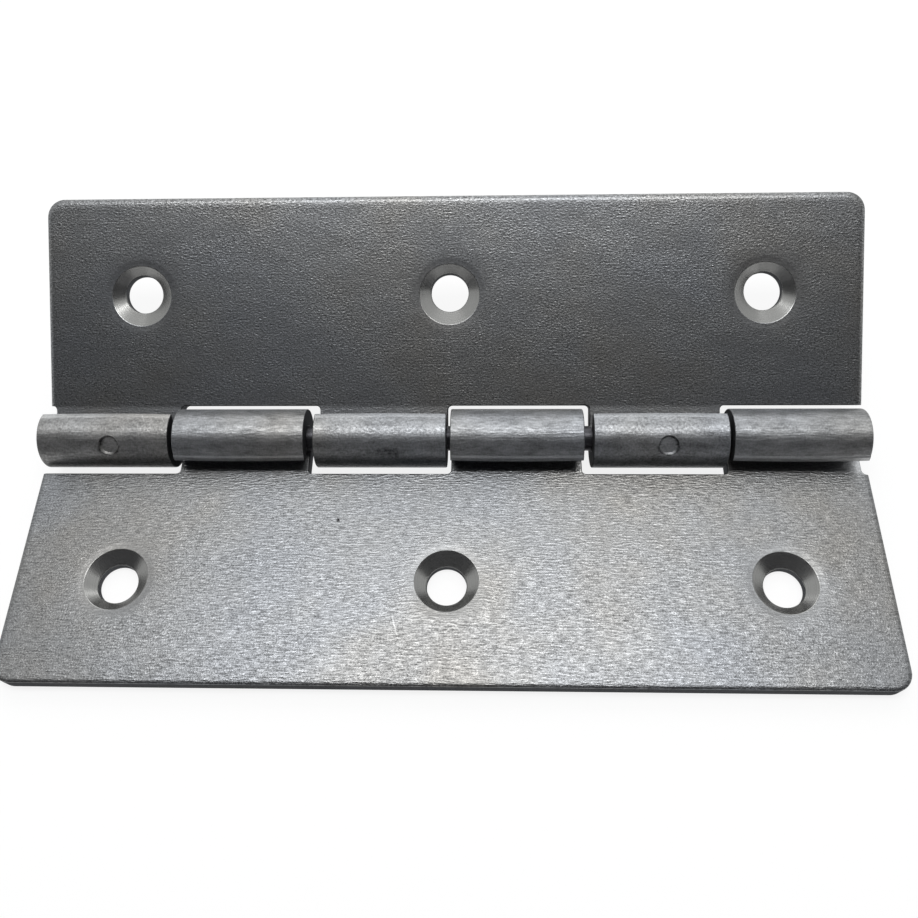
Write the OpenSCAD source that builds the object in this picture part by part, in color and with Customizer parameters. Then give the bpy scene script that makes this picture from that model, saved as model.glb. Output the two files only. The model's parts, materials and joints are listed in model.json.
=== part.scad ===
// Pressed-steel butt hinge: two rolled leaves on one staked pin, the lower leaf lying flat on its back.
// The origin is at the lower leaf's middle screw hole, on its back face, with the pin along X.

/* [Leaves] */
// Length of each leaf along the pin
leaf_length = 100; // [80:1:150]
// Distance from the pin's axis to a leaf's outer edge
leaf_width = 29.6; // [24:0.1:40]
// Thickness of the steel sheet
sheet_thickness = 2; // [1.6:0.1:2.5]
// Radius of the leaves' outer corners
corner_radius = 2.2; // [0.5:0.1:5]
// Angle by which the upper leaf is lifted from lying flat
lift_angle = 30; // [0:1:90]

/* [Pin] */
// Diameter of the pin
pin_diameter = 3; // [2.4:0.1:4]
// Radial clearance between the pin and the rolled knuckles
pin_clearance = 0.06; // [0.02:0.01:0.1]
// Depth of the pin's ends inside the row of knuckles
pin_recess = 0.3; // [0:0.1:1]
// Bevel around the pin's ends
pin_bevel = 0.25; // [0.1:0.05:0.5]

/* [Knuckles] */
// Number of knuckles in the row, half of them on each leaf
knuckle_count = 6; // [4:2:8]
// Mean gap between neighbouring knuckles
knuckle_gap = 0.8; // [0.5:0.1:1.2]
// Shift of a leaf's knuckles along the pin, which makes the gaps on their two sides wide and narrow
knuckle_shift = 0.15; // [0:0.01:0.2]
// Distance from a leaf's end to the end of the row of knuckles
row_inset = 0.6; // [0.6:0.05:2]
// Gap between a knuckle and the notch that it turns in
notch_gap = 0.44; // [0.3:0.02:1.5]
// Radius in the inner corners of the notches
notch_radius = 0.5; // [0.2:0.1:0.6]
// Angle above the upper leaf at which its rolled sheet ends
upper_curl_end_angle = 32; // [0:1:60]
// Angle above the lower leaf at which its rolled sheet ends
lower_curl_end_angle = 14; // [0:1:60]

/* [Screw holes] */
// Number of screw holes in each leaf
hole_count = 3; // [3:2:5]
// Diameter of the screw holes
hole_diameter = 4.6; // [3.5:0.1:5]
// Diameter of the countersinks at the leaf's front face
countersink_diameter = 7.4; // [6.6:0.1:8]
// Full angle of the countersinks
countersink_angle = 110; // [82:1:120]
// Distance from a leaf's end to its first hole
hole_end_distance = 11.8; // [8:0.1:20]
// Distance from a leaf's outer edge to its row of holes
hole_edge_distance = 11.7; // [8:0.1:14]

/* [Staking marks] */
// Diameter of the punch marks that fix the pin in the upper leaf
stake_diameter = 2.4; // [1.5:0.1:3.5]
// Depth of the punch marks' flat floor
stake_depth = 0.3; // [0.1:0.05:0.6]
// Angle of the punch marks from the upper leaf's front, away from the leaf
stake_angle = 13; // [0:1:45]
// Distance of the punch marks from the middle of their knuckles
stake_shift = 0.8; // [0:0.1:3]

/* [Hidden] */
$fn = 96;

leaf_color = [0.43, 0.44, 0.46];
pin_color = [0.33, 0.33, 0.35];

pin_radius = pin_diameter / 2;
bore_radius = pin_radius + pin_clearance;
knuckle_radius = bore_radius + sheet_thickness;
notch_edge = knuckle_radius + notch_gap;
full_turn = 360;
half_turn = full_turn / 2;
quarter_turn = full_turn / 4;

// The row of knuckles, counted from the pin's end at -X
row_length = leaf_length - 2 * row_inset;
knuckle_width = (row_length - (knuckle_count - 1) * knuckle_gap) / knuckle_count;
knuckle_pitch = knuckle_width + knuckle_gap;
first_knuckle_x = (knuckle_width - row_length) / 2;
leaf_knuckles = [for (i = [0 : 2 : knuckle_count - 2]) first_knuckle_x + i * knuckle_pitch + knuckle_shift];
staked_knuckles = [leaf_knuckles[0], leaf_knuckles[len(leaf_knuckles) - 1]];

// The row of screw holes in a leaf
hole_from_pin = leaf_width - hole_edge_distance;
hole_pitch = (leaf_length - 2 * hole_end_distance) / (hole_count - 1);
hole_places = [for (i = [0 : hole_count - 1]) hole_end_distance - leaf_length / 2 + i * hole_pitch];
countersink_depth = (countersink_diameter - hole_diameter) / 2 / tan(countersink_angle / 2);

pin_length = row_length - 2 * pin_recess;
// Cutting tools run past the faces that they cut by this much
cut_over = 1;

// A square corner's waste outside its radius, with the arc's centre at the origin and the corner at +X +Y
module corner_waste(radius) {
    difference() {
        square(radius + cut_over);
        circle(radius);
    }
}

// A leaf's flat outline: the plate with rounded outer corners, and one web for each of its knuckles.
// The pin's axis lies along X, and the leaf reaches away from it along +Y.
module leaf_outline() {
    difference() {
        translate([-leaf_length / 2, notch_edge]) square([leaf_length, leaf_width - notch_edge]);
        for (side = [0, 1]) {
            mirror([side, 0]) translate([leaf_length / 2 - corner_radius, leaf_width - corner_radius])
                corner_waste(corner_radius);
        }
    }
    for (x = leaf_knuckles) {
        translate([x, 0]) web_outline();
    }
}

// The web between a knuckle and the plate, widened by a fillet at its root on both sides
module web_outline() {
    root_width = knuckle_width + 2 * notch_radius;
    difference() {
        union() {
            translate([-knuckle_width / 2, 0]) square([knuckle_width, notch_edge + notch_radius]);
            translate([-root_width / 2, notch_edge - notch_radius]) square([root_width, 2 * notch_radius]);
        }
        for (side = [-1, 1]) {
            translate([side * root_width / 2, notch_edge - notch_radius]) circle(notch_radius);
        }
    }
}

// A knuckle's section across the pin, with the leaf along +X and its front towards +Y: the sheet runs in at
// the leaf's back, rolls round the pin and stops short of the leaf's front, which leaves an open seam
module knuckle_section(curl_end_angle) {
    reach = 2 * knuckle_radius;
    difference() {
        union() {
            circle(knuckle_radius);
            translate([0, -knuckle_radius]) square([notch_edge, sheet_thickness]);
        }
        circle(bore_radius);
        polygon([[0, 0], [0, -bore_radius], [reach, -bore_radius], [reach, reach * tan(curl_end_angle)]]);
    }
}

module knuckle(curl_end_angle) {
    rotate([quarter_turn, 0, quarter_turn]) linear_extrude(knuckle_width, center = true)
        knuckle_section(curl_end_angle);
}

// The cutter for one countersunk hole, with its axis along Z and the leaf's back face at Z = 0
module countersunk_hole() {
    translate([0, 0, -cut_over]) cylinder(h = sheet_thickness + 2 * cut_over, d = hole_diameter);
    translate([0, 0, sheet_thickness - countersink_depth])
        cylinder(h = countersink_depth, d1 = hole_diameter, d2 = countersink_diameter);
    translate([0, 0, sheet_thickness]) cylinder(h = cut_over, d = countersink_diameter);
}

// One leaf about the pin's axis, reaching along +Y, with its front face towards +Z.
// Both leaves are cut from this blank, one of them turned end for end and rolled a little further round.
module leaf(curl_end_angle) {
    difference() {
        translate([0, 0, -knuckle_radius]) linear_extrude(sheet_thickness) leaf_outline();
        for (x = hole_places) {
            translate([x, hole_from_pin, -knuckle_radius]) countersunk_hole();
        }
    }
    for (x = leaf_knuckles) {
        translate([x, 0, 0]) knuckle(curl_end_angle);
    }
}

// The flat-ended punches whose marks pinch the first and last knuckles onto the pin
module staking_marks() {
    for (x = staked_knuckles) {
        translate([x + stake_shift, 0, 0]) rotate([stake_angle, 0, 0])
            translate([0, 0, knuckle_radius - stake_depth])
                cylinder(h = stake_depth + cut_over, d = stake_diameter);
    }
}

module at_pin_axis() {
    translate([0, hole_from_pin, knuckle_radius]) children();
}

module lower_leaf() {
    color(leaf_color) at_pin_axis() rotate([0, 0, half_turn]) leaf(lower_curl_end_angle);
}

module upper_leaf() {
    color(leaf_color) at_pin_axis() rotate([lift_angle, 0, 0]) difference() {
        leaf(upper_curl_end_angle);
        staking_marks();
    }
}

module hinge_pin() {
    shank = pin_length / 2 - pin_bevel;
    tip = pin_radius - pin_bevel;
    color(pin_color) at_pin_axis() rotate([0, quarter_turn, 0]) rotate_extrude()
        polygon([[0, -pin_length / 2], [tip, -pin_length / 2], [pin_radius, -shank],
                 [pin_radius, shank], [tip, pin_length / 2], [0, pin_length / 2]]);
}

lower_leaf();
upper_leaf();
hinge_pin();
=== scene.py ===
"""Looks of a pressed-steel butt hinge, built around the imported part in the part's own frame, in metres."""

import json
import logging
import math
from dataclasses import dataclass, field
from enum import IntEnum
from typing import Any

import bpy
import numpy as np
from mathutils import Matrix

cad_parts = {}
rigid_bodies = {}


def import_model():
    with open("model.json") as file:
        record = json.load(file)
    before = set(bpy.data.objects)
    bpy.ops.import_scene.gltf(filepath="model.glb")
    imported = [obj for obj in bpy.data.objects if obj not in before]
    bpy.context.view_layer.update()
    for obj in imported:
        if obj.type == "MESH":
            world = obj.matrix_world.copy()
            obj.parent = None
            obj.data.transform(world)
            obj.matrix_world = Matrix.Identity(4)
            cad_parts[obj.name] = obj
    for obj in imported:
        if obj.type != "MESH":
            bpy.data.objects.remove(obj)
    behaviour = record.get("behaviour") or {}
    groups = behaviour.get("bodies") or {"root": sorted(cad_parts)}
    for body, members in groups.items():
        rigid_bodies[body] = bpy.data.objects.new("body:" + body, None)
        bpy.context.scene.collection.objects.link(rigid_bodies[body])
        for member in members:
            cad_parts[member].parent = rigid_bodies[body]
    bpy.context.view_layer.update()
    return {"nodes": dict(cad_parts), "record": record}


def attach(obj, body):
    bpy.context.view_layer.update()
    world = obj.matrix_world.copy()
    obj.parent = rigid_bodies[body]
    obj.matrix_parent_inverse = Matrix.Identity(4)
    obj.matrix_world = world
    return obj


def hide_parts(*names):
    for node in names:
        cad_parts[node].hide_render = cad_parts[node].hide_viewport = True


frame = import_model()

MM = 0.001
# The leaf mesh's UV map and point attributes, which the materials read
UV_NAME = "Blank"
HALO_NAME = "halo"
RADIUS_NAME = "hole_radius"
PAINTED_HIGHLIGHT_NAME = "burr"
STAKE_SHADING_NAME = "grime"
# Lengths on the blank that differ by less count as the same, and points that agree to the digits are welded
SAME_MM = 1e-6
STOP_DIGITS = 9
WELD_DIGITS = 5
# Degrees round the pin, from under it at the leaf's back to the side on which the leaf lies
FULL_CURL = 270.0

Colour = tuple[float, float, float, float]
Span = tuple[float, float]
Socket = bpy.types.NodeSocket
Tree = bpy.types.NodeTree
log = logging.getLogger("hinge")


class Zone(IntEnum):
    """Material slots of a leaf: rolled faces, countersunk holes and sheared edges."""

    FACE = 0
    COUNTERSINK = 1
    CUT = 2


def linear(hex_colour: str) -> Colour:
    """Turns an sRGB hex colour into the linear colour that shaders read.

    Args:
        hex_colour: Six hex digits after a hash sign.

    Returns:
        Red, green and blue by the sRGB curve, and an alpha of 1.
    """
    srgb = np.array([int(hex_colour[i:i + 2], 16) for i in (1, 3, 5)]) / 255
    rgb = np.where(srgb <= 0.04045, srgb / 12.92, ((srgb + 0.055) / 1.055) ** 2.4)
    return (*rgb.tolist(), 1.0)


def add_node(tree: Tree, kind: str, inputs: dict[Any, Any] | None = None, **settings: Any) -> bpy.types.Node:
    """Adds one node with its settings and links.

    Args:
        tree: The node tree that takes the node.
        kind: Blender's name for the node type.
        inputs: Input sockets by name or number, each with a plain value or the output socket to link.
        settings: Properties of the node itself.

    Returns:
        The new node.
    """
    node = tree.nodes.new(kind)
    for name, value in settings.items():
        setattr(node, name, value)
    for socket, value in (inputs or {}).items():
        if isinstance(value, Socket):
            tree.links.new(value, node.inputs[socket])
        else:
            node.inputs[socket].default_value = value
    return node


def ends(side: str, span: tuple[Any, Any]) -> dict[str, Any]:
    """Names the two ends of a range, "From" or "To", as the sockets that take them."""
    return {f"{side} Min": span[0], f"{side} Max": span[1]}


def new_metal(name: str) -> tuple[bpy.types.Material, Tree, bpy.types.Node]:
    """Makes an empty metal.

    Args:
        name: The material's name.

    Returns:
        The material, its node tree, and its metallic Principled shader, already linked to the output.
    """
    material = bpy.data.materials.new(name)
    material.use_nodes = True
    tree = material.node_tree
    shader = next(n for n in tree.nodes if n.type == "BSDF_PRINCIPLED")
    shader.inputs["Metallic"].default_value = 1.0
    return material, tree, shader


def add_object(name: str, data: Any) -> bpy.types.Object:
    """Adds an object to the scene, at the origin.

    Args:
        name: The object's name.
        data: Its mesh, lamp or camera.

    Returns:
        The new object.
    """
    obj = bpy.data.objects.new(name, data)
    bpy.context.scene.collection.objects.link(obj)
    return obj


def add_stage(name: str, points: np.ndarray, faces: np.ndarray,
              finish: str) -> tuple[bpy.types.Object, Tree]:
    """Adds a mesh that is no part of the hinge.

    Args:
        name: The object's name.
        points: The mesh's points, in metres.
        faces: Its quads of point numbers.
        finish: The name of its material.

    Returns:
        The object, and its material's empty node tree.
    """
    mesh = bpy.data.meshes.new(name)
    mesh.from_pydata(points, [], faces)
    stage = add_object(name, mesh)
    material = bpy.data.materials.new(finish)
    material.use_nodes = True
    material.node_tree.nodes.clear()
    mesh.materials.append(material)
    return stage, material.node_tree


@dataclass(frozen=True)
class Mark:
    """One scratch or speck on a leaf: an ellipse on the blank, in millimetres, that shines more or less.

    The angle is in degrees. Shine is added to the brightness in the ellipse's core, and fades to its rim.
    """

    along: float
    across: float
    length: float
    width: float
    angle: float
    shine: float
    core: float = 0.5


@dataclass(frozen=True)
class RolledSteel:
    """Bare mild steel sheet with the grain of worn mill rolls: flecks along the pin, and fine pits.

    The knuckles were drawn over a curling die, which rubbed the grain down to streaks and cloudy patches,
    and the countersinking tool's collar burnished a smooth ring round each hole. So the eye sees satin faces
    that glint in short dashes, duller and streaky knuckles, and plain rings. Painted light is laid on top: a
    highlight along the tongues' free ends, a lift of the knuckles' sheen, shade on the punch marks' walls
    and light on their floors, and light on the web in the crevice under the knuckles.
    """

    name: str
    marks: tuple[Mark, ...]
    fleck_length_mm: float
    fleck_width_mm: float
    fleck_depth_mm: float
    pit_depth_mm: float
    contrast: float
    grey: str = "#757677"
    warm: str = "#757472"
    cool: str = "#737578"
    # Stains and worn patches are as wide as a thumb and a fingertip
    stain_mm: float = 26.0
    stain_stops: tuple[float, float, float] = (0.36, 0.5, 0.64)
    patch_mm: float = 9.0
    # Real pits are finer: these are two pixels of the render wide, which is as fine as they still show
    pit_mm: float = 0.21
    dent_mm: float = 4.0
    dent_depth_mm: float = 0.07
    dent_strength: float = 0.6
    streak_length_mm: float = 3.0
    streak_width_mm: float = 0.2
    streak_depth_mm: float = 0.03
    rub_length_mm: float = 2.6
    rub_width_mm: float = 0.8
    face_roughness: float = 0.34
    knuckle_roughness: float = 0.45
    fleck_roughness: float = 0.06
    # Places across the blank between which the sheet's finish turns into the knuckles', and the painted
    # light in the crevice under the knuckles comes on
    roll_span_mm: Span = (3.0, -1.0)
    crevice_light_span_mm: Span = (4.1, 3.6)
    # Values of each noise at which its effect begins and is full
    patch_band: Span = (0.35, 0.6)
    mottle_band: Span = (0.7, 1.3)
    rub_band: Span = (0.32, 0.68)
    fleck_band: Span = (0.35, 0.65)
    # The grain's share on worn and fresh patches and where it is rubbed off, and how far the die rubbed it
    worn_share: Span = (0.75, 1.0)
    rubbed_share: float = 0.35
    drawn_share: float = 0.6
    # Brightness: the knuckles' clouds with a painted sheen, plain sheet and the painted highlight at its
    # free ends, painted shade and light in the punch marks, and painted light on the web in the crevice
    # under the knuckles
    cloud_and_sheen_shine: Span = (-0.08, 0.6)
    painted_highlight_shine: Span = (1.0, 1.9)
    stake_shading_shine: float = -0.7
    crevice_light_shine: Span = (0.0, 1.1)

    def pattern(self, tree: Tree, blank: Socket, length_mm: float, width_mm: float,
                **inputs: float) -> Socket:
        """Adds a noise pattern whose cells have a real size on the blank.

        Args:
            tree: The material's node tree.
            blank: The blank's coordinates in millimetres.
            length_mm: A cell's length along the pin.
            width_mm: A cell's width across the leaf.
            inputs: Further inputs of the noise.

        Returns:
            The noise's value, about 0.5 on average.
        """
        scale = (1 / length_mm, 1 / width_mm, 1)
        at = add_node(tree, "ShaderNodeMapping", {"Vector": blank, "Scale": scale})
        noise = add_node(tree, "ShaderNodeTexNoise", {"Vector": at.outputs[0], "Scale": 1.0, **inputs})
        return noise.outputs["Fac"]

    def marked(self, tree: Tree, blank: Socket, shade: Socket) -> Socket:
        """Adds the scratches and specks to the shade of the steel.

        Args:
            tree: The material's node tree.
            blank: The blank's coordinates in millimetres.
            shade: The brightness so far.

        Returns:
            The brightness, raised or lowered inside each mark's ellipse with a soft edge.
        """
        for mark in self.marks:
            local = add_node(tree, "ShaderNodeMapping", {
                "Vector": blank, "Location": (mark.along, mark.across, 0.0),
                "Rotation": (0.0, 0.0, math.radians(mark.angle)),
                "Scale": (mark.length / 2, mark.width / 2, 1.0)}, vector_type="TEXTURE")
            away = add_node(tree, "ShaderNodeVectorMath", {0: local.outputs[0]}, operation="LENGTH")
            change = add_node(tree, "ShaderNodeMapRange", {
                "Value": away.outputs["Value"], **ends("From", (1.0, mark.core)), "To Max": mark.shine})
            shade = add_node(tree, "ShaderNodeMath", {0: shade, 1: change.outputs["Result"]}).outputs[0]
        return shade

    def material(self) -> bpy.types.Material:
        """Builds the material on the blank's own coordinates, in millimetres along and across the leaf.

        The relief is a chain of bumps, each with its own share. The brightness is that of plain sheet or of
        the painted highlight at the tongues' free ends, plus each change times its share, plus the single
        marks, and it scales the stains' colour. The changes are the grain's mottle, the knuckles' clouds
        with a painted sheen, the painted shade and light in the punch marks, and painted light on the web
        under the knuckles.

        Returns:
            The material, which reads the leaf mesh's UV map and attributes.
        """
        material, tree, shader = new_metal(self.name)
        blank = add_node(tree, "ShaderNodeUVMap", uv_map=UV_NAME).outputs["UV"]
        halo, burr, grime = [add_node(tree, "ShaderNodeAttribute", attribute_name=name).outputs["Fac"]
                             for name in (HALO_NAME, PAINTED_HIGHLIGHT_NAME, STAKE_SHADING_NAME)]
        across = add_node(tree, "ShaderNodeSeparateXYZ", {0: blank}).outputs["Y"]
        roll = add_node(tree, "ShaderNodeMapRange", {"Value": across, **ends("From", self.roll_span_mm)},
                        interpolation_type="SMOOTHSTEP").outputs["Result"]
        flat = add_node(tree, "ShaderNodeMath", {0: 1.0, 1: roll}, operation="SUBTRACT").outputs[0]

        flecks = self.pattern(tree, blank, self.fleck_length_mm, self.fleck_width_mm,
                              Detail=2.0, Distortion=0.2)
        pits = self.pattern(tree, blank, self.pit_mm, self.pit_mm, Detail=2.0)
        streaks = self.pattern(tree, blank, self.streak_length_mm, self.streak_width_mm, Detail=2.0)
        rubs = self.pattern(tree, blank, self.rub_length_mm, self.rub_width_mm, Detail=4.0, Roughness=0.6)
        dents = self.pattern(tree, blank, self.dent_mm, self.dent_mm, Detail=1.0)
        stains = self.pattern(tree, blank, self.stain_mm, self.stain_mm, Detail=3.0, Roughness=0.6)
        patches = self.pattern(tree, blank, self.patch_mm, self.patch_mm / 2, Detail=2.0)

        # The grain's share is least in the rings round the holes, and less on the knuckles than on the flat
        drawn = add_node(tree, "ShaderNodeMath", {0: roll, 1: self.drawn_share},
                         operation="MULTIPLY").outputs[0]
        smoothed = add_node(tree, "ShaderNodeMath", {0: halo, 1: drawn}, operation="MAXIMUM").outputs[0]
        worn = add_node(tree, "ShaderNodeMapRange", {
            "Value": patches, **ends("From", self.patch_band),
            **ends("To", self.worn_share)}).outputs["Result"]
        grain = add_node(tree, "ShaderNodeMapRange", {
            "Value": smoothed, **ends("To", (worn, self.rubbed_share))}).outputs["Result"]

        normal = add_node(tree, "ShaderNodeBump", {
            "Height": dents, "Distance": self.dent_depth_mm * MM, "Strength": self.dent_strength}).outputs[0]
        for height, depth, share in ((flecks, self.fleck_depth_mm, grain), (pits, self.pit_depth_mm, grain),
                                     (streaks, self.streak_depth_mm, drawn)):
            normal = add_node(tree, "ShaderNodeBump", {
                "Height": height, "Distance": depth * MM, "Strength": share, "Normal": normal}).outputs[0]

        tint = add_node(tree, "ShaderNodeValToRGB", {"Fac": stains})
        low, middle, high = self.stain_stops
        ramp = tint.color_ramp.elements
        ramp[0].position = low
        ramp[0].color = linear(self.warm)
        ramp[1].position = high
        ramp[1].color = linear(self.cool)
        ramp.new(middle).color = linear(self.grey)

        mottle = add_node(tree, "ShaderNodeMath", {0: flecks, 1: pits}).outputs[0]
        uneven = add_node(tree, "ShaderNodeMapRange", {
            "Value": mottle, **ends("From", self.mottle_band),
            **ends("To", (-self.contrast, self.contrast))}).outputs["Result"]
        # The knuckles' rubbed clouds, lifted on the whole as a painted sheen
        cloud_and_sheen = add_node(tree, "ShaderNodeMapRange", {
            "Value": rubs, **ends("From", self.rub_band),
            **ends("To", self.cloud_and_sheen_shine)}).outputs["Result"]
        # Painted light on the web, in the crevice under the knuckles
        web = add_node(tree, "ShaderNodeMapRange", {
            "Value": across, **ends("From", self.crevice_light_span_mm),
            **ends("To", self.crevice_light_shine)}).outputs["Result"]
        # Painted highlight: the brightness is 1 on plain sheet and rises along the tongues' free ends
        shade = add_node(tree, "ShaderNodeMapRange", {
            "Value": burr, **ends("To", self.painted_highlight_shine)}).outputs["Result"]
        for change, share in ((uneven, grain), (cloud_and_sheen, roll), (grime, self.stake_shading_shine), (web, flat)):
            shade = add_node(tree, "ShaderNodeMath", {0: change, 1: share, 2: shade},
                             operation="MULTIPLY_ADD").outputs[0]
        shade = self.marked(tree, blank, shade)
        colour = add_node(tree, "ShaderNodeVectorMath", {
            0: tint.outputs["Color"], "Scale": shade}, operation="SCALE")

        ground = add_node(tree, "ShaderNodeMapRange", {
            "Value": roll, **ends("To", (self.face_roughness, self.knuckle_roughness))}).outputs["Result"]
        polish = add_node(tree, "ShaderNodeMapRange", {
            "Value": flecks, **ends("From", self.fleck_band),
            **ends("To", (self.fleck_roughness, -self.fleck_roughness))}).outputs["Result"]
        rough = add_node(tree, "ShaderNodeMath", {0: ground, 1: polish}).outputs[0]
        tree.links.new(colour.outputs[0], shader.inputs["Base Color"])
        tree.links.new(rough, shader.inputs["Roughness"])
        tree.links.new(normal, shader.inputs["Normal"])
        return material


@dataclass(frozen=True)
class LinedSteel:
    """Steel with fine lines from the tool that cut or drew it, which give it two shades and a low relief.

    Glance tints what the steel reflects at a flat angle, which a dull cut keeps down.
    """

    name: str
    dark: str
    light: str
    roughness: float
    line_mm: float
    line_depth_mm: float
    line_strength: float = 0.5
    glance: str = "#ffffff"

    def lines(self, tree: Tree) -> Socket:
        """Adds the pattern of lines, which each steel has in its own direction."""
        raise NotImplementedError

    def across_lines(self, tree: Tree, place: Socket) -> Socket:
        """Adds noise in one direction only.

        Args:
            tree: The material's node tree.
            place: The way across the lines, in millimetres.

        Returns:
            The noise's value, whose cells are a line wide.
        """
        noise = add_node(tree, "ShaderNodeTexNoise", {
            "W": place, "Scale": 1 / self.line_mm, "Detail": 2.0}, noise_dimensions="1D")
        return noise.outputs["Fac"]

    def material(self) -> bpy.types.Material:
        """Builds the material: the lines mix the two shades and raise the surface.

        Returns:
            The material.
        """
        material, tree, shader = new_metal(self.name)
        lines = self.lines(tree)
        tint = add_node(tree, "ShaderNodeMix", {
            "Factor": lines, 6: linear(self.dark), 7: linear(self.light)}, data_type="RGBA")
        relief = add_node(tree, "ShaderNodeBump", {
            "Height": lines, "Distance": self.line_depth_mm * MM, "Strength": self.line_strength})
        tree.links.new(tint.outputs[2], shader.inputs["Base Color"])
        tree.links.new(relief.outputs[0], shader.inputs["Normal"])
        shader.inputs["Roughness"].default_value = self.roughness
        shader.inputs["Specular Tint"].default_value = linear(self.glance)
        return material


@dataclass(frozen=True)
class TurnedSteel(LinedSteel):
    """Steel turned by a countersinking tool, which leaves a bright cone with fine rings round the hole."""

    name: str = "turned_steel"
    dark: str = "#7f7f7e"
    light: str = "#91918f"
    roughness: float = 0.24
    line_mm: float = 0.1
    line_depth_mm: float = 0.008

    def lines(self, tree: Tree) -> Socket:
        """Adds rings, which change with the distance from the hole's middle."""
        place = add_node(tree, "ShaderNodeAttribute", attribute_name=RADIUS_NAME)
        return self.across_lines(tree, place.outputs["Fac"])


@dataclass(frozen=True)
class ShearedSteel(LinedSteel):
    """Steel sheared in a press, which tears it to a dark, dull wall with strokes through the sheet."""

    name: str = "sheared_steel"
    dark: str = "#4a4b4d"
    light: str = "#646567"
    roughness: float = 0.6
    line_mm: float = 0.22
    line_depth_mm: float = 0.03
    glance: str = "#a0a0a0"

    def lines(self, tree: Tree) -> Socket:
        """Adds strokes, which change with x + s on the blank and so along any sheared edge.

        Args:
            tree: The material's node tree.

        Returns:
            The strokes' value.
        """
        blank = add_node(tree, "ShaderNodeUVMap", uv_map=UV_NAME).outputs["UV"]
        place = add_node(tree, "ShaderNodeVectorMath", {0: blank, 1: (1.0, 1.0, 0.0)},
                         operation="DOT_PRODUCT")
        return self.across_lines(tree, place.outputs["Value"])


@dataclass(frozen=True)
class DrawnWire(LinedSteel):
    """Cold-drawn steel wire: dark and dull, with long, faint lines from the drawing die."""

    name: str = "drawn_steel_wire"
    dark: str = "#3d3d3f"
    light: str = "#56565a"
    roughness: float = 0.42
    line_mm: float = 0.12
    line_depth_mm: float = 0.01
    line_strength: float = 0.4
    run_mm: float = 8.0

    def lines(self, tree: Tree) -> Socket:
        """Adds noise on the pin's own coordinates.

        Args:
            tree: The material's node tree.

        Returns:
            The noise's value, whose cells are a line wide and a run long along the pin.
        """
        place = add_node(tree, "ShaderNodeTexCoord").outputs["Object"]
        around = 1 / (self.line_mm * MM)
        at = add_node(tree, "ShaderNodeMapping", {
            "Vector": place, "Scale": (1 / (self.run_mm * MM), around, around)})
        noise = add_node(tree, "ShaderNodeTexNoise", {"Vector": at.outputs[0], "Scale": 1.0, "Detail": 2.0})
        return noise.outputs["Fac"]


@dataclass(frozen=True)
class Patch:
    """A grid of points on the flat blank, with a quad in each cell that is kept.

    The grid's first direction runs along the pin or out from a hole, and the second across the leaf or round
    the hole.
    """

    points: np.ndarray
    zones: np.ndarray
    keep: np.ndarray
    closed: bool = False

    def quads(self, first: int) -> np.ndarray:
        """Lists the kept cells.

        Args:
            first: The number that the grid's first point has among all points.

        Returns:
            Point numbers, four to a quad, counted round so that the front looks up.
        """
        rows, columns = self.points.shape[:2]
        number = first + np.arange(rows * columns).reshape(rows, columns)
        if self.closed:
            number = np.concatenate([number, number[:, :1]], axis=1)
        cells = np.stack([number[:-1, :-1], number[1:, :-1], number[1:, 1:], number[:-1, 1:]], axis=-1)
        return cells[self.keep]


def grid_lines(stops: list[float], pitch: float) -> np.ndarray:
    """Spaces lines evenly between stops.

    Args:
        stops: Places that must have a line, in any order.
        pitch: The widest step between lines.

    Returns:
        The lines in rising order: each stretch between neighbouring stops is cut into equal steps.
    """
    marks = np.unique(np.round(stops, STOP_DIGITS))
    runs = [np.linspace(a, b, math.ceil((b - a) / pitch - SAME_MM) + 1)[:-1]
            for a, b in zip(marks, marks[1:])]
    return np.concatenate([*runs, marks[-1:]])


def fillet(along: np.ndarray, radius: float) -> tuple[np.ndarray, np.ndarray]:
    """Walks one half of the quarter circle that fills an inner corner.

    With m = r (1 - cos 45), the point at a along the wall goes to m + a (r - m) / r, where the circle stands
    r - sqrt(r r - (r - a)(r - a)) off the wall, so that the corner itself comes to lie on the arc's middle.

    Args:
        along: Distances from the sharp corner along one wall; negative ones lie beyond it.
        radius: The fillet's radius.

    Returns:
        The new distances along the wall and the distances off it, which are 0 past the fillet.
    """
    middle = radius * (1 - math.sqrt(0.5))
    near = (along > -SAME_MM) & (along < radius)
    moved = np.where(near, middle + along * (radius - middle) / radius, along)
    short = np.where(near, radius - moved, 0.0)
    return moved, radius - np.sqrt(radius ** 2 - short ** 2)


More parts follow.
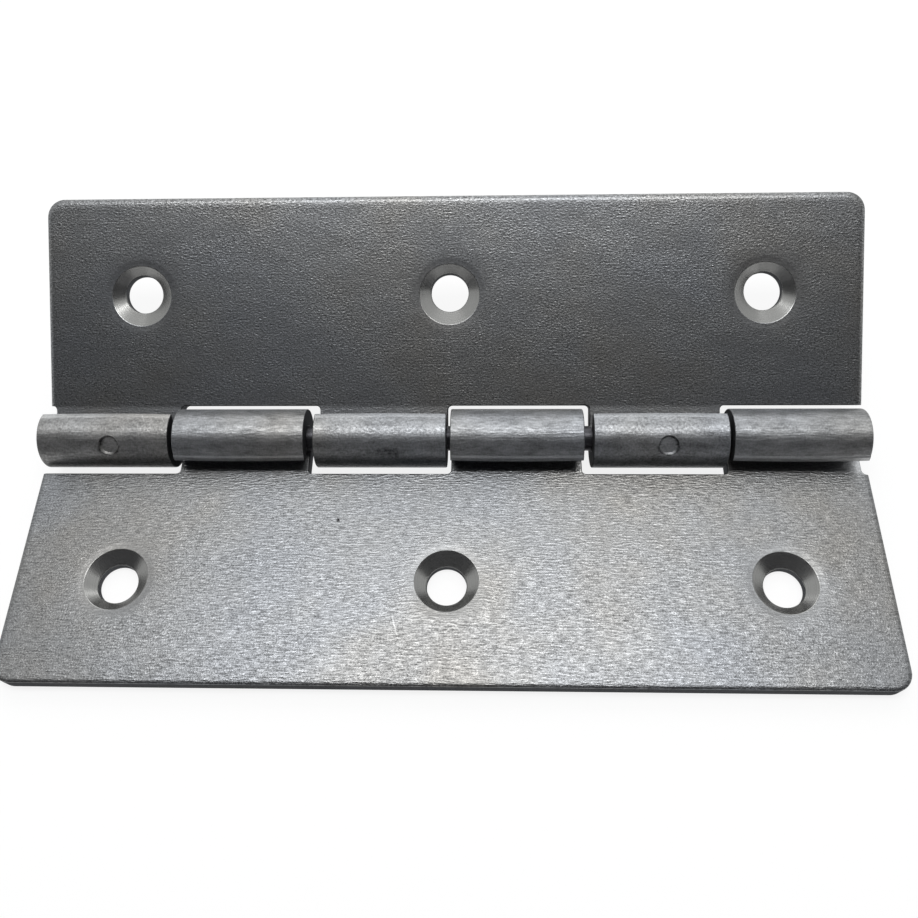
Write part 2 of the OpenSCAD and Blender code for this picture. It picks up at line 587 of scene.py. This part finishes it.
@dataclass
class Leaf:
    """One leaf, made as the real pressing: a countersunk blank whose tongues are rolled round the pin.

    Sizes are in millimetres, and angles in degrees. On the blank, x runs along the pin and s away from the
    pin's axis, and the tongues lie at negative s. Height is measured from the leaf's back face.
    """

    node: str
    body: str
    place: np.ndarray
    curl_end_angle: float
    staked: bool
    sheet_shift: float
    shear_roll: float
    shear_drop: float
    lip: float
    length: float = 100.0
    width: float = 29.6
    thickness: float = 2.0
    corner_radius: float = 2.2
    corner_reach: float = 5.0
    bore_radius: float = 1.56
    knuckle_count: int = 6
    knuckle_gap: float = 0.8
    knuckle_shift: float = 0.15
    row_inset: float = 0.6
    notch_gap: float = 0.44
    notch_radius: float = 0.5
    curl_bow: float = 0.12
    hole_radius: float = 2.3
    countersink_radius: float = 3.7
    land: float = 1.02
    countersink_shift: float = 0.3
    halo_radius: float = 4.6
    halo_depth: float = 0.04
    halo_fade: float = 0.7
    hole_square: float = 6.2
    hole_spacing: float = 38.2
    hole_from_pin: float = 17.9
    stake_radius: float = 1.2
    stake_floor: float = 1.05
    stake_reach: float = 2.6
    stake_depth: float = 0.42
    stake_angle: float = 13.0
    stake_shift: float = 0.8
    # Painted shade on the punch marks' walls, and painted light on their floors
    wall_painted_shade: float = 1.0
    floor_painted_light: float = -0.45
    edge_round: float = 0.14
    edge_segments: int = 3
    rim_round: float = 0.5
    sharp_angle: float = 25.0
    # The grid: the wide cell at a tongue's free end, the painted highlight's reach in such cells, rows, and
    # widest steps
    end_cell: float = 0.4
    painted_highlight_cells: float = 1.4
    edge_rows: int = 4
    cone_rings: int = 6
    halo_rings: int = 5
    pitch_along: float = 0.3
    pitch_across: float = 0.5
    pitch_web: float = 0.25
    pitch_roll: float = 0.13
    obj: bpy.types.Object = field(init=False)

    @property
    def knuckle_radius(self) -> float:
        """Outer radius of the rolled knuckles."""
        return self.bore_radius + self.thickness

    @property
    def notch_edge(self) -> float:
        """Distance from the pin's axis to the plate's edge between the tongues."""
        return self.knuckle_radius + self.notch_gap

    @property
    def knuckle_width(self) -> float:
        """Length of one knuckle along the pin."""
        row = self.length - 2 * self.row_inset
        return (row - (self.knuckle_count - 1) * self.knuckle_gap) / self.knuckle_count

    @property
    def tongues(self) -> np.ndarray:
        """Middles of this leaf's knuckles along the pin: every second one of the row."""
        first = (self.knuckle_width - self.length) / 2 + self.row_inset + self.knuckle_shift
        return first + (self.knuckle_width + self.knuckle_gap) * np.arange(0, self.knuckle_count, 2)

    @property
    def tongue_sides(self) -> np.ndarray:
        """Places of the tongues' sides along the pin, one row for each tongue."""
        return self.tongues[:, None] + self.knuckle_width / 2 * np.array([-1.0, 1.0])

    @property
    def holes(self) -> np.ndarray:
        """Middles of the screw holes along the pin."""
        return self.hole_spacing * np.array([-1.0, 0.0, 1.0])

    @property
    def neutral_radius(self) -> float:
        """Radius at which the rolled sheet keeps its flat length."""
        return self.bore_radius + self.thickness / 2

    @property
    def stretch(self) -> float:
        """Growth of the sheet's back face as it is rolled into the knuckle's outside."""
        return self.knuckle_radius / self.neutral_radius

    @property
    def free_end(self) -> float:
        """Place of the tongues' free ends across the blank."""
        return -self.neutral_radius * math.radians(FULL_CURL - self.curl_end_angle)

    @property
    def stakes(self) -> np.ndarray:
        """Middles of the punch marks along the pin, on the first and the last tongue."""
        return self.tongues[[0, -1]] + self.stake_shift if self.staked else np.zeros(0)

    @property
    def stake_line(self) -> float:
        """Place of the punch marks across the blank."""
        return -self.neutral_radius * (math.pi - math.radians(self.stake_angle))

    @property
    def stake_stops(self) -> np.ndarray:
        """Distances of grid lines from a punch mark's middle, on the knuckle's outside."""
        rings = np.array([self.stake_floor, self.stake_radius])
        return np.concatenate([-rings, rings]) if self.staked else np.zeros(0)

    @property
    def edge_stops(self) -> np.ndarray:
        """Distances of grid lines from the sheared edges, where the face rolls down."""
        return self.shear_roll * np.linspace(0, 1, self.edge_rows)

    def lines_along(self) -> np.ndarray:
        """Draws the grid lines along the pin.

        Returns:
            Their places, through all that has an edge there: ends, tongues, holes' squares and punch marks.
        """
        squares = (self.holes[:, None] + self.hole_square * np.array([-1, 1])).ravel()
        outer = self.length / 2 - self.edge_stops
        stakes = (self.stakes[:, None] + self.stake_stops).ravel()
        return grid_lines([*outer, *-outer, *self.tongue_sides.ravel(), *squares, *stakes], self.pitch_along)

    def lines_across(self) -> np.ndarray:
        """Grid lines across the plate, from the notches to the outer edge."""
        squares = self.hole_from_pin + self.hole_square * np.array([-1, 1])
        return grid_lines([self.notch_edge, *squares, *(self.width - self.edge_stops)], self.pitch_across)

    def lines_rolled(self) -> np.ndarray:
        """Draws the grid lines across a tongue.

        Returns:
            Their places, from its free end, whose first cell is wide, to the plate.
        """
        stakes = self.stake_line + self.stake_stops / self.stretch
        rolled = grid_lines([self.free_end + self.end_cell, *stakes, 0.0], self.pitch_roll)
        web = grid_lines([0.0, self.notch_edge], self.pitch_web)
        return np.concatenate([[self.free_end], rolled, web[1:]])

    def hole_distance(self, points: np.ndarray) -> np.ndarray:
        """Distance of each blank point from the nearest hole's middle."""
        along = np.abs(points[..., 0, None] - self.holes).min(axis=-1)
        return np.hypot(along, points[..., 1] - self.hole_from_pin)

    def edge_distance(self, points: np.ndarray) -> np.ndarray:
        """Measures how far blank points lie inside the plate's ends and outer edge.

        In a corner it is the radius less the distance from the arc's centre, and elsewhere that from the
        nearer edge.

        Args:
            points: Blank points.

        Returns:
            The distance of each point.
        """
        inner = np.array([self.length / 2, self.width]) - self.corner_radius
        past = np.stack([np.abs(points[..., 0]), points[..., 1]], axis=-1) - inner
        outside = np.hypot(*np.moveaxis(np.clip(past, 0, None), -1, 0))
        return self.corner_radius - outside - np.minimum(past.max(axis=-1), 0)

    def stake_offset(self, points: np.ndarray) -> np.ndarray:
        """Measures where blank points lie from the nearest punch mark.

        Args:
            points: Blank points.

        Returns:
            The way from the mark's middle along the pin, and round the knuckle's outside.
        """
        along = points[..., 0, None] - self.stakes
        nearest = np.abs(along).argmin(axis=-1)[..., None]
        around = (points[..., 1] - self.stake_line) * self.stretch
        return np.stack([np.take_along_axis(along, nearest, axis=-1)[..., 0], around], axis=-1)

    def rounded(self, points: np.ndarray) -> np.ndarray:
        """Bends the plate's grid into its rounded outer corners.

        In a square at each corner, every square shell round the inner corner becomes the same share of the
        rounded outline: a straight run and then an eighth of a circle, walked at an even pace from the inner
        side to the corner's bisector.

        Args:
            points: The plate's grid with sharp corners.

        Returns:
            The same grid with round corners.
        """
        reach, radius = self.corner_reach, self.corner_radius
        side = np.sign(points[..., 0])
        a = np.abs(points[..., 0]) - (self.length / 2 - reach)
        b = points[..., 1] - (self.width - reach)
        shell = np.maximum(a, b)
        inside = (a > 0) & (b > 0)
        share = np.where(inside, np.minimum(a, b) / np.where(inside, shell, 1), 0)
        straight = reach - radius
        walked = share * (straight + radius * math.pi / 4)
        turned = np.clip(walked - straight, 0, None) / radius
        far = straight + radius * np.cos(turned)
        near = np.minimum(walked, straight) + radius * np.sin(turned)
        scale = shell / reach
        new_a = scale * np.where(a >= b, far, near)
        new_b = scale * np.where(a >= b, near, far)
        bent = np.stack([side * (self.length / 2 - reach + new_a), self.width - reach + new_b], axis=-1)
        return np.where(inside[..., None], bent, points)

    def punched(self, points: np.ndarray) -> np.ndarray:
        """Bends a tongue's grid into circles round a punch mark.

        Every square shell round the mark's middle becomes a circle of the same half width, whose angle grows
        evenly along the shell's side. Past the mark, the shells go back to squares over the reach.

        Args:
            points: The tongue's grid of straight lines.

        Returns:
            The same grid with round shells at the mark.
        """
        offset = self.stake_offset(points)
        size = np.abs(offset)
        shell = size.max(axis=-1, keepdims=True)
        turn = size.min(axis=-1, keepdims=True) / np.maximum(shell, SAME_MM) * math.pi / 4
        longer = size == shell
        circle = np.sign(offset) * shell * np.where(longer, np.cos(turn), np.sin(turn))
        blend = np.clip((self.stake_reach - shell) / (self.stake_reach - self.stake_radius), 0, 1)
        return points + blend * (circle - offset) / [1.0, self.stretch]

    def plate(self) -> Patch:
        """Lays out the flat plate: a grid of straight lines with rounded corners and filleted notches.

        Returns:
            The grid, open at the squares round the holes.
        """
        along, across = self.lines_along(), self.lines_across()
        points = np.stack(np.meshgrid(along, across, indexing="ij"), axis=-1)
        middle = (points[1:, 1:] + points[:-1, :-1]) / 2
        near_hole = np.abs(middle[..., 0, None] - self.holes).min(axis=-1) < self.hole_square
        keep = ~(near_hole & (np.abs(middle[..., 1] - self.hole_from_pin) < self.hole_square))
        points = self.rounded(points)
        for corner, side in zip(self.tongue_sides.T, (-1, 1)):
            past = side * (along[:, None] - corner)
            nearest = np.abs(past).argmin(axis=1)
            out, down = fillet(past[np.arange(len(along)), nearest], self.notch_radius)
            moved = down > 0
            points[moved, 0, 0] = (corner[nearest] + side * out)[moved]
            points[moved, 0, 1] -= down[moved]
        return Patch(points, np.full(keep.shape, Zone.FACE), keep)

    def hole(self, middle: float) -> Patch:
        """Lays out a screw hole's surroundings: rings from its edge out to the square in the plate.

        Each ring is a circle whose points lie in the directions of the square's own grid points, and past
        the halo the points move straight to the square.

        Args:
            middle: The hole's place along the pin.

        Returns:
            The rings as a closed patch, with the cone marked as countersink.
        """
        half = self.hole_square
        along = self.lines_along()
        along = along[np.abs(along - middle) <= half + SAME_MM]
        across = self.lines_across()
        across = across[np.abs(across - self.hole_from_pin) <= half + SAME_MM]
        low, high = np.full(len(along), across[0]), np.full(len(along), across[-1])
        left, right = np.full(len(across), along[0]), np.full(len(across), along[-1])
        border = np.concatenate([
            np.stack([along, low], 1)[:-1], np.stack([right, across], 1)[:-1],
            np.stack([along, high], 1)[:0:-1], np.stack([left, across], 1)[:0:-1]])
        centre = np.array([middle, self.hole_from_pin])
        ways = (border - centre) / np.linalg.norm(border - centre, axis=1, keepdims=True)
        cone = np.linspace(self.hole_radius, self.countersink_radius, self.cone_rings)
        ring = np.linspace(self.countersink_radius, self.halo_radius, self.halo_rings)[1:]
        circles = centre + np.concatenate([cone, ring])[:, None, None] * ways
        between = (circles[-1] + border) / 2
        points = np.concatenate([circles, between[None], border[None]])
        zones = np.full((len(points) - 1, len(border)), Zone.FACE)
        zones[:len(cone) - 1] = Zone.COUNTERSINK
        return Patch(points, zones, np.full(zones.shape, True), closed=True)

    def tongue(self, middle: float) -> Patch:
        """Lays out a knuckle's flat tongue, with fillets at its root and a free end that bows out.

        The bow is a parabola over the width. It begins half-way along the tongue, and grows with the square
        of the way from there to the free end.

        Args:
            middle: The knuckle's place along the pin.

        Returns:
            The tongue's grid, whose last column lies on the plate's edge.
        """
        along = self.lines_along()
        along = along[np.abs(along - middle) <= self.knuckle_width / 2 + SAME_MM]
        across = self.lines_rolled()
        points = np.stack(np.meshgrid(along, across, indexing="ij"), axis=-1)
        if np.abs(self.stakes - middle).min(initial=self.length) < self.knuckle_width / 2:
            points = self.punched(points)
        down, out = fillet(self.notch_edge - across, self.notch_radius)
        for column, side in ((0, -1), (-1, 1)):
            points[column, :, 0] += side * out
            points[column, :, 1] = self.notch_edge - down
        fade = np.clip(2 * across / self.free_end - 1, 0, 1) ** 2
        side = (along - middle) / (self.knuckle_width / 2)
        points[..., 1] -= self.curl_bow * fade * (1 - side[:, None] ** 2)
        zones = np.full((len(along) - 1, len(across) - 1), Zone.FACE)
        return Patch(points, zones, np.full(zones.shape, True))

    def blank(self) -> tuple[np.ndarray, np.ndarray, np.ndarray]:
        """Joins the plate, the holes' rings and the tongues into one blank.

        Returns:
            Blank points, quads of point numbers, and each quad's zone, with the points that meet made one.
        """
        patches = [self.plate(), *map(self.hole, self.holes), *map(self.tongue, self.tongues)]
        counts = [p.points.shape[0] * p.points.shape[1] for p in patches]
        starts = np.concatenate([[0], np.cumsum(counts)[:-1]])
        points = np.concatenate([p.points.reshape(-1, 2) for p in patches])
        quads = np.concatenate([p.quads(start) for p, start in zip(patches, starts)])
        zones = np.concatenate([p.zones[p.keep] for p in patches])
        used = np.unique(quads)
        welded = np.round(points[used], WELD_DIGITS)
        _, first, same = np.unique(welded, axis=0, return_index=True, return_inverse=True)
        renumber = np.zeros(len(points), int)
        renumber[used] = same.ravel()
        return points[used][first], renumber[quads], zones

    def front_height(self, points: np.ndarray) -> np.ndarray:
        """Height of the front face: the sheet's thickness, less the halo, the cone and the sheared edges.

        The cone rises evenly from the land to the halo's inner rim, and the dished halo rises to the face by
        a smooth step. At a sheared edge the face rolls down as the square of the nearness to the edge.

        Args:
            points: Blank points.

        Returns:
            The height of each point above the back face.
        """
        r = self.hole_distance(points)
        u = np.clip((r - self.countersink_radius) / (self.halo_radius - self.countersink_radius), 0, 1)
        rim = self.thickness - self.halo_depth
        near = np.clip(1 - self.edge_distance(points) / self.shear_roll, 0, 1)
        face = rim + self.halo_depth * u * u * (3 - 2 * u) - self.shear_drop * near ** 2
        up = np.clip((r - self.hole_radius) / (self.countersink_radius - self.hole_radius), 0, 1)
        return np.where(r < self.countersink_radius, self.land + (rim - self.land) * up, face)

    def back_height(self, points: np.ndarray) -> np.ndarray:
        """Height of the back face, the knuckles' outside: zero, but for the lip and the punch marks.

        The lip is a low step at the tongues' free ends. A punch mark's floor is flat, so that at an angle
        from its middle it lies at its own distance from the pin's axis over the angle's cosine.

        Args:
            points: Blank points.

        Returns:
            The depth of each point below the knuckle's outside.
        """
        if not self.staked:
            return np.where(points[:, 1] < self.free_end + self.end_cell + SAME_MM, -self.lip, 0.0)
        offset = self.stake_offset(points)
        floor = self.knuckle_radius - self.stake_depth
        angle = np.clip(offset[:, 1] / self.knuckle_radius, -1, 1)
        depth = np.clip(self.knuckle_radius - floor / np.cos(angle), 0, None)
        wall = self.stake_radius - self.stake_floor
        return depth * np.clip((self.stake_radius - np.hypot(*offset.T)) / wall, 0, 1)

    def grime(self, points: np.ndarray) -> np.ndarray:
        """Finds the painted shading on the knuckles' outside: shade on the punch marks' walls, light on
        their floors.

        Args:
            points: Blank points.

        Returns:
            One value on the walls of the punch marks, another on their floors, and 0 elsewhere.
        """
        if not self.staked:
            return np.zeros(len(points))
        away = np.hypot(*self.stake_offset(points).T)
        # Painted shade on the walls, and painted light on the floors
        in_mark = np.where(away > self.stake_floor - SAME_MM, self.wall_painted_shade, self.floor_painted_light)
        return np.where(away < self.stake_radius + SAME_MM, in_mark, 0.0)

    def off_centre(self, points: np.ndarray) -> np.ndarray:
        """Moves the countersinks, which were not drilled quite in line with the holes, towards the pin.

        Args:
            points: Blank points.

        Returns:
            The points, moved by nothing at the hole's edge, fully from the cone's rim through the halo, and
            by nothing again at the square round the hole.
        """
        r = self.hole_distance(points)
        out = np.clip((r - self.hole_radius) / (self.countersink_radius - self.hole_radius), 0, 1)
        back = np.clip((self.hole_square - r) / (self.hole_square - self.halo_radius), 0, 1)
        return points - (out * back)[:, None] * [0.0, self.countersink_shift]

    def rolled(self, points: np.ndarray, height: np.ndarray) -> np.ndarray:
        """Rolls the blank round the pin.

        Points at positive s stay on the flat leaf. A point at negative s turns about the pin's axis by its
        distance over the neutral radius, at the knuckle's radius less its height.

        Args:
            points: Blank points.
            height: Their heights above the back face.

        Returns:
            Points about the pin's axis, with the leaf along +Y and its front towards +Z.
        """
        turn = np.clip(-points[:, 1], 0, None) / self.neutral_radius
        radius = self.knuckle_radius - height
        return np.stack([points[:, 0], np.clip(points[:, 1], 0, None) - radius * np.sin(turn),
                         -radius * np.cos(turn)], axis=1)

    def soften(self, mesh: bpy.types.Mesh, rim: np.ndarray, points: np.ndarray) -> None:
        """Marks the edges that a bevel rounds: the outline on both faces, and less so the cones' rims.

        Args:
            mesh: The leaf's mesh, front points first and back points after them.
            rim: Pairs of front points along the outline.
            points: Blank points.
        """
        count = len(points)
        tips = np.empty(2 * len(mesh.edges), np.int32)
        mesh.edges.foreach_get("vertices", tips)
        tips = tips.reshape(-1, 2)
        keys = np.sort(tips, axis=1).astype(np.int64) @ [2 * count, 1]
        outline = np.sort(rim, axis=1)
        outline = np.concatenate([outline, outline + count]) @ [2 * count, 1]
        at_cone = np.abs(self.hole_distance(points) - self.countersink_radius) < SAME_MM
        at_cone = np.concatenate([at_cone, np.zeros(count, bool)])[tips].all(axis=1)
        weights = np.where(np.isin(keys, outline), 1.0, np.where(at_cone, self.rim_round, 0.0))
        attribute = mesh.attributes.new("bevel_weight_edge", "FLOAT", "EDGE")
        attribute.data.foreach_set("value", weights.astype(np.float32))

    def paint(self, mesh: bpy.types.Mesh, points: np.ndarray, faces: np.ndarray) -> None:
        """Gives the mesh what its materials read: the blank's coordinates, halos, the painted highlight at
        the tongues' free ends, and the painted shade and light in the punch marks.

        Args:
            mesh: The leaf's mesh, front points first and back points after them.
            points: Blank points.
            faces: The mesh's quads of point numbers.
        """
        both = np.concatenate([points, points])
        corners = both[faces.ravel()] + [self.sheet_shift, 0.0]
        mesh.uv_layers.new(name=UV_NAME).data.foreach_set("uv", corners.ravel().astype(np.float32))
        count = len(points)
        away = self.hole_distance(both)
        halo = np.clip((self.halo_radius + self.halo_fade / 2 - away) / self.halo_fade, 0, 1)
        halo[count:] = 0.0
        # A painted highlight along the tongues' free ends
        burr = (both[:, 1] < self.free_end + self.painted_highlight_cells * self.end_cell).astype(float)
        grime = np.concatenate([np.zeros(count), self.grime(points)])
        for name, values in ((HALO_NAME, halo), (RADIUS_NAME, away), (PAINTED_HIGHLIGHT_NAME, burr), (STAKE_SHADING_NAME, grime)):
            attribute = mesh.attributes.new(name, "FLOAT", "POINT")
            attribute.data.foreach_set("value", values.astype(np.float32))

    def build(self) -> None:
        """Makes the leaf's closed mesh: front, back and the walls between them, with softly rounded edges.

        A wall stands on each side of a quad that no other quad shares, between its front and back points.
        """
        points, quads, zones = self.blank()
        count = len(points)
        sides = quads[:, [0, 1, 1, 2, 2, 3, 3, 0]].reshape(-1, 2)
        _, same, uses = np.unique(np.sort(sides, axis=1), axis=0, return_inverse=True, return_counts=True)
        rim = sides[uses[same.ravel()] == 1]
        walls = np.stack([rim[:, 0], rim[:, 0] + count, rim[:, 1] + count, rim[:, 1]], axis=1)
        back_zones = np.full(len(quads), Zone.FACE)
        wall_zones = np.full(len(walls), Zone.CUT)
        faces = np.concatenate([quads, quads[:, ::-1] + count, walls])
        shape = np.concatenate([self.rolled(self.off_centre(points), self.front_height(points)),
                                self.rolled(points, self.back_height(points))])
        shape = shape @ self.place[:3, :3].T + self.place[:3, 3]

        mesh = bpy.data.meshes.new(self.node)
        mesh.from_pydata(shape * MM, [], faces)
        slots = np.concatenate([zones, back_zones, wall_zones]).astype(np.int32)
        mesh.polygons.foreach_set("material_index", slots)
        mesh.polygons.foreach_set("use_smooth", np.ones(len(faces), bool))
        self.paint(mesh, points, faces)
        self.soften(mesh, rim, points)
        mesh.set_sharp_from_angle(angle=math.radians(self.sharp_angle))
        mesh.update()
        self.obj = add_object(f"{self.node}_pressing", mesh)
        bevel = self.obj.modifiers.new("rounded_edges", "BEVEL")
        bevel.width = self.edge_round * MM
        bevel.segments = self.edge_segments
        bevel.limit_method = "WEIGHT"
        bevel.harden_normals = True

    def dress(self, finishes: dict[Zone, bpy.types.Material]) -> None:
        """Gives the leaf its materials and its place in the moving part.

        Args:
            finishes: A material for each zone.
        """
        for zone in Zone:
            self.obj.data.materials.append(finishes[zone])
        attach(self.obj, self.body)
        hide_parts(self.node)
        log.info("%s: %d faces", self.obj.name, len(self.obj.data.polygons))


@dataclass
class Pin:
    """The pin, whose CAD solid already has the real one's form."""

    node: str = "hinge_pin"

    def dress(self, finish: bpy.types.Material) -> None:
        """Puts the wire's finish on the CAD node.

        Args:
            finish: The pin's material.
        """
        solid = frame["nodes"][self.node]
        solid.data.materials.clear()
        solid.data.materials.append(finish)
        log.info("%s: drawn wire", solid.name)


@dataclass(frozen=True)
class Softbox:
    """A soft lamp that hangs over the hinge, tilted in degrees from straight up towards its far side."""

    name: str
    tilt: float
    distance: float
    size: Span
    watts: float

    def hang(self) -> None:
        """Adds the lamp, looking at the hinge and unseen by the camera."""
        tilt = math.radians(self.tilt)
        lamp = bpy.data.lights.new(self.name, "AREA")
        lamp.shape = "RECTANGLE"
        lamp.size, lamp.size_y = self.size
        lamp.energy = self.watts
        softbox = add_object(self.name, lamp)
        softbox.location = (0.0, self.distance * math.sin(tilt), self.distance * math.cos(tilt))
        softbox.rotation_euler = (-tilt, 0.0, 0.0)
        softbox.visible_camera = False


@dataclass(frozen=True)
class Card:
    """A grey card on the camera's side, part of a tube along the pin, which the metal reflects as dark."""

    name: str
    tilts: Span
    half_length: float
    grey: str
    radius: float = 0.3
    rows: int = 12

    def stand(self) -> None:
        """Sets up the card, unseen by the camera.

        The point at x along the pin and at angle a from straight up is (x, -r sin a, r cos a).
        """
        angle = np.radians(np.linspace(*self.tilts, self.rows))
        along = np.array([-self.half_length, self.half_length])
        x, a = np.meshgrid(along, angle, indexing="ij")
        points = np.stack([x, -self.radius * np.sin(a), self.radius * np.cos(a)], axis=-1).reshape(-1, 3)
        first = np.arange(self.rows - 1)
        faces = np.stack([first, first + 1, first + 1 + self.rows, first + self.rows], axis=1)
        card, tree = add_stage(self.name, points, faces, f"{self.name}_board")
        card.visible_camera = False
        matt = add_node(tree, "ShaderNodeBsdfDiffuse", {"Color": linear(self.grey)})
        add_node(tree, "ShaderNodeOutputMaterial", {0: matt.outputs[0]})


@dataclass
class Studio:
    """The pale floor, the soft light and the camera."""

    floor_half: float = 4.0
    floor_drop_mm: float = 0.05
    floor_colour: str = "#f7f7f7"
    own_white: float = 0.85
    white: str = "#ffffff"
    sky: str = "#fdfefe"
    softboxes: tuple[Softbox, ...] = (
        Softbox("overhead_softbox", tilt=9.0, distance=0.5, size=(0.42, 0.12), watts=1.3),
        Softbox("back_softbox", tilt=52.0, distance=0.6, size=(0.60, 0.22), watts=0.8),
    )
    # The front card is the lighter one, because it is what the steel reflects when it is seen from behind
    cards: tuple[Card, ...] = (
        Card("overhead_card", tilts=(0.0, 22.0), half_length=0.5, grey="#707072"),
        Card("middle_card", tilts=(22.0, 55.0), half_length=1.0, grey="#707072"),
        Card("front_card", tilts=(55.0, 90.0), half_length=1.0, grey="#a0a0a2"),
    )
    camera_mm: tuple[float, float, float] = (5.045, -33.219, 96.434)
    camera_turn: tuple[float, float, float] = (27.489, 1.825, 0.995)
    lens_mm: float = 34.246
    nearest_mm: float = 1.0

    def floor(self) -> None:
        """Lays a wide floor, mostly white of its own to the camera and to reflections.

        A share of own white is mixed with the rest of lit paper, so that the hinge's shadow still shows.
        """
        half, low = self.floor_half, -self.floor_drop_mm * MM
        corners = np.array([[-half, -half, low], [half, -half, low], [half, half, low], [-half, half, low]])
        _, tree = add_stage("floor", corners, np.array([[0, 1, 2, 3]]), "white_paper")
        rays = add_node(tree, "ShaderNodeLightPath").outputs
        seen = add_node(tree, "ShaderNodeMath", {
            0: rays["Is Camera Ray"], 1: rays["Is Glossy Ray"]}).outputs[0]
        seen = add_node(tree, "ShaderNodeMath", {0: seen, 1: rays["Is Transmission Ray"]},
                        use_clamp=True).outputs[0]
        share = add_node(tree, "ShaderNodeMath", {0: seen, 1: self.own_white},
                         operation="MULTIPLY").outputs[0]
        paper = add_node(tree, "ShaderNodeBsdfDiffuse", {"Color": linear(self.floor_colour)}).outputs[0]
        glow = add_node(tree, "ShaderNodeEmission", {
            "Color": linear(self.white), "Strength": 1.0}).outputs[0]
        mixed = add_node(tree, "ShaderNodeMixShader", {0: share, 1: paper, 2: glow}).outputs[0]
        add_node(tree, "ShaderNodeOutputMaterial", {0: mixed})

    def light(self) -> None:
        """Lights the object from a pale sky and the softboxes, with grey cards on the camera's side."""
        world = bpy.data.worlds.new("studio")
        bpy.context.scene.world = world
        world.use_nodes = True
        tree = world.node_tree
        tree.nodes.clear()
        back = add_node(tree, "ShaderNodeBackground", {"Color": linear(self.sky), "Strength": 1.0})
        add_node(tree, "ShaderNodeOutputWorld", {0: back.outputs[0]})
        for card in self.cards:
            card.stand()
        for softbox in self.softboxes:
            softbox.hang()

    def camera(self) -> None:
        """Sets up the camera as it stood for the photograph."""
        data = bpy.data.cameras.new("camera")
        data.lens = self.lens_mm
        data.clip_start = self.nearest_mm * MM
        camera = add_object("camera", data)
        camera.location = np.array(self.camera_mm) * MM
        camera.rotation_euler = np.radians(self.camera_turn)
        bpy.context.scene.camera = camera


def about_pin(turn_z: float, lift: float, axis: np.ndarray) -> np.ndarray:
    """Places a leaf at the pin.

    Args:
        turn_z: Turn about Z, in radians, before the lift.
        lift: Turn about the pin, in radians.
        axis: A point on the pin's axis, in millimetres.

    Returns:
        A 4 by 4 matrix that turns and then moves.
    """
    cz, sz, cx, sx = math.cos(turn_z), math.sin(turn_z), math.cos(lift), math.sin(lift)
    about_x = np.array([[1, 0, 0], [0, cx, -sx], [0, sx, cx]])
    about_z = np.array([[cz, -sz, 0], [sz, cz, 0], [0, 0, 1]])
    place = np.eye(4)
    place[:3, :3] = about_x @ about_z
    place[:3, 3] = axis
    return place


def main() -> None:
    logging.basicConfig(level=logging.INFO, format="%(name)s: %(message)s")
    record = frame["record"]
    joint = record["behaviour"]["joints"][0]
    axis = np.array(joint["pos_m"]) / MM
    front = next(m["axis"] for m in record["mounts"] if m["name"] == "upper_middle_hole")
    lift = math.atan2(-front[1], front[2])
    # The lower leaf takes its grain from another place of the endless sheet, so that the leaves differ
    shift = 300.0
    lower_marks = (
        Mark(along=shift + 12.99, across=10.16, length=0.6, width=0.55, angle=0.0, shine=-0.9),
        Mark(along=shift + 5.65, across=22.9, length=3.0, width=0.22, angle=107.0, shine=0.9),
        Mark(along=shift + 18.07, across=-9.47, length=0.7, width=0.25, angle=20.0, shine=0.6),
    )
    upper_marks = (
        Mark(along=-36.65, across=-10.03, length=1.3, width=0.14, angle=55.0, shine=0.7),
        Mark(along=-34.14, across=-9.8, length=1.0, width=0.14, angle=50.0, shine=0.7),
        Mark(along=-7.44, across=-6.89, length=5.0, width=1.1, angle=0.0, shine=-0.4),
        Mark(along=37.66, across=26.84, length=0.7, width=0.2, angle=25.0, shine=0.9),
    )
    lower_sheet = RolledSteel("rolled_steel_long_grain", lower_marks, fleck_length_mm=1.05,
                              fleck_width_mm=0.19, fleck_depth_mm=0.048, pit_depth_mm=0.026,
                              contrast=0.52)
    upper_sheet = RolledSteel("rolled_steel_short_grain", upper_marks, fleck_length_mm=0.42,
                              fleck_width_mm=0.21, fleck_depth_mm=0.027, pit_depth_mm=0.027,
                              contrast=0.65)
    lower = Leaf("lower_leaf", joint["parent"], about_pin(math.pi, 0.0, axis), curl_end_angle=14.0,
                 staked=False, sheet_shift=shift, shear_roll=0.5, shear_drop=0.14, lip=0.1)
    upper = Leaf("upper_leaf", joint["child"], about_pin(0.0, lift, axis), curl_end_angle=32.0,
                 staked=True, sheet_shift=0.0, shear_roll=0.75, shear_drop=0.28, lip=0.0)
    turned, sheared = TurnedSteel().material(), ShearedSteel().material()
    for leaf, sheet in ((lower, lower_sheet), (upper, upper_sheet)):
        leaf.build()
        leaf.dress({Zone.FACE: sheet.material(), Zone.COUNTERSINK: turned, Zone.CUT: sheared})
    Pin().dress(DrawnWire().material())
    studio = Studio()
    studio.floor()
    studio.light()
    studio.camera()
    bpy.context.scene.view_settings.view_transform = "Standard"


if __name__ == "__main__":
    main()
